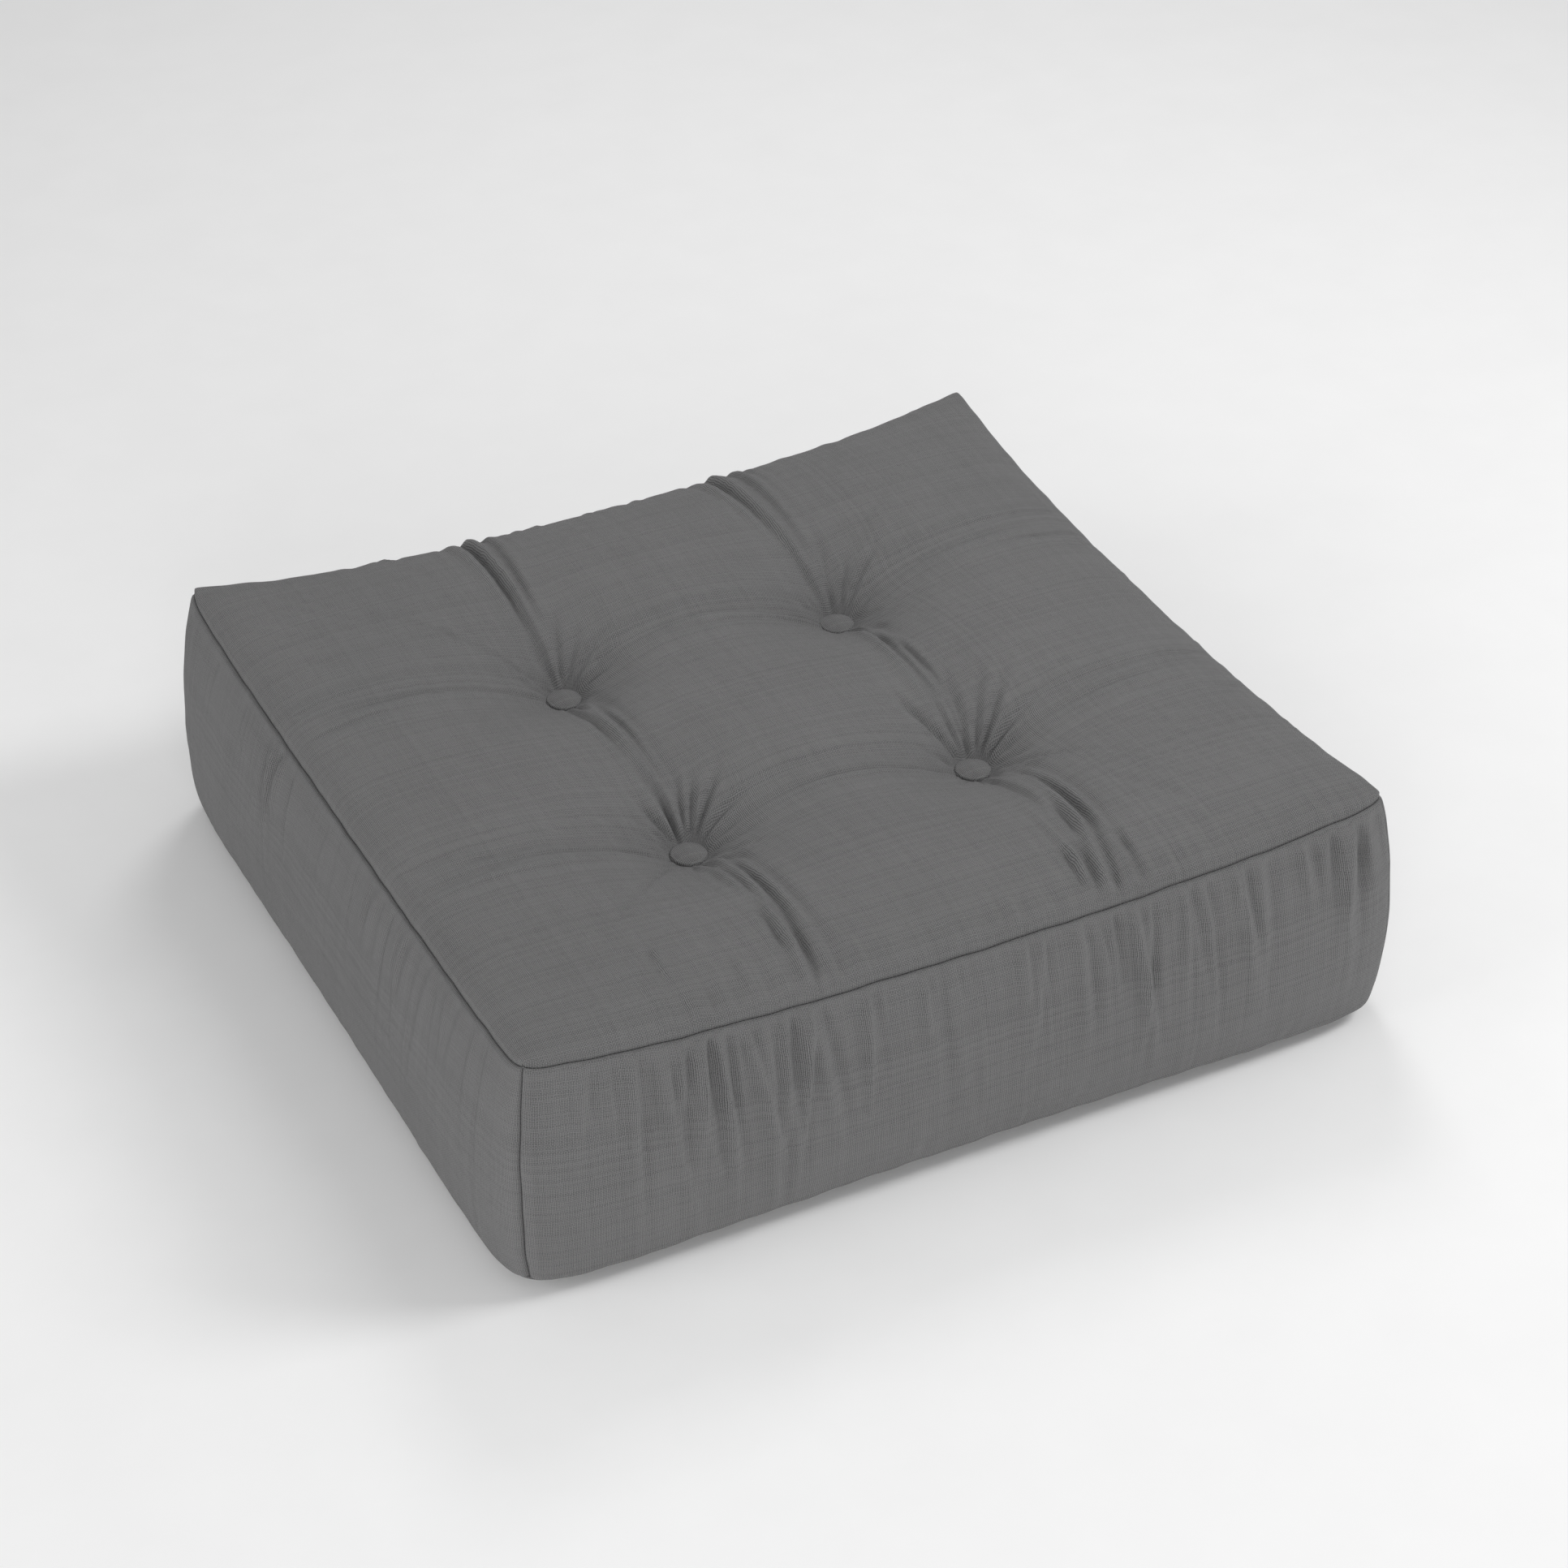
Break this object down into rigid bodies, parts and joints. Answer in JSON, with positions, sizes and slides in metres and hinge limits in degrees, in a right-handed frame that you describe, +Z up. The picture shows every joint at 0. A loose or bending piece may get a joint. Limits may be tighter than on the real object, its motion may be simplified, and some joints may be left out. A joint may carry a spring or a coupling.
{
  "type": "floor cushion",
  "caption": "Boxed, button-tufted square floor cushion with a wadded foam core and a zip in its back border.",
  "frame": {"origin": "on the floor under the middle of the cushion", "axes": "+Z up, +X along the front border to the right, +Y towards the back border with the zip"},
  "size_m": [0.732, 0.6957, 0.215],
  "materials": {
    "cover_cloth": "charcoal plain-weave cotton canvas",
    "button_cloth": "the cover's canvas, stretched over a dome",
    "sewing_thread": "dark spun polyester thread",
    "wadding": "white polyester wadding",
    "foam": "open-cell polyurethane foam",
    "tufting_twine": "waxed nylon twine",
    "zip_tape": "woven polyester tape",
    "zip_coil": "nylon coil",
    "zip_metal": "dark enamelled zinc",
    "button_metal": "pressed aluminium"
  },
  "bodies": {
    "cushion": {"cover_top_panel": "cover_cloth", "cover_bottom_panel": "cover_cloth", "border_front": "cover_cloth", "border_left": "cover_cloth", "border_right": "cover_cloth", "border_back_upper": "cover_cloth", "border_back_lower": "cover_cloth", "top_seam_thread": "sewing_thread", "bottom_seam_thread": "sewing_thread", "corner_seam_threads": "sewing_thread", "wadding_top": "wadding", "wadding_border": "wadding", "wadding_bottom": "wadding", "foam_core": "foam", "zip_tape_upper": "zip_tape", "zip_tape_lower": "zip_tape", "zip_coil_upper": "zip_coil", "zip_coil_lower": "zip_coil", "zip_top_stops": "zip_metal", "zip_bottom_stop": "zip_metal", "top_button_cloth_1": "button_cloth", "top_button_shell_1": "button_metal", "top_button_back_1": "button_metal", "top_button_cloth_2": "button_cloth", "top_button_shell_2": "button_metal", "top_button_back_2": "button_metal", "top_button_cloth_3": "button_cloth", "top_button_shell_3": "button_metal", "top_button_back_3": "button_metal", "top_button_cloth_4": "button_cloth", "top_button_shell_4": "button_metal", "top_button_back_4": "button_metal", "bottom_button_cloth_1": "button_cloth", "bottom_button_shell_1": "button_metal", "bottom_button_back_1": "button_metal", "bottom_button_cloth_2": "button_cloth", "bottom_button_shell_2": "button_metal", "bottom_button_back_2": "button_metal", "bottom_button_cloth_3": "button_cloth", "bottom_button_shell_3": "button_metal", "bottom_button_back_3": "button_metal", "bottom_button_cloth_4": "button_cloth", "bottom_button_shell_4": "button_metal", "bottom_button_back_4": "button_metal", "tufting_twine_1": "tufting_twine", "tufting_twine_2": "tufting_twine", "tufting_twine_3": "tufting_twine", "tufting_twine_4": "tufting_twine"},
    "zip_slider": {"zip_slider": "zip_metal"},
    "zip_pull": {"zip_pull": "zip_metal"}
  },
  "joints": [
    {"name": "zip_slide", "type": "slide", "parent": "cushion", "child": "zip_slider", "axis": [-1, 0, 0], "range_m": [0, 0.5404]},
    {"name": "zip_pull_hinge", "type": "hinge", "parent": "zip_slider", "child": "zip_pull", "pos_m": [0.2705, 0.34775, 0.107], "axis": [0, 0, -1], "range_deg": [0, 170]}
  ]
}
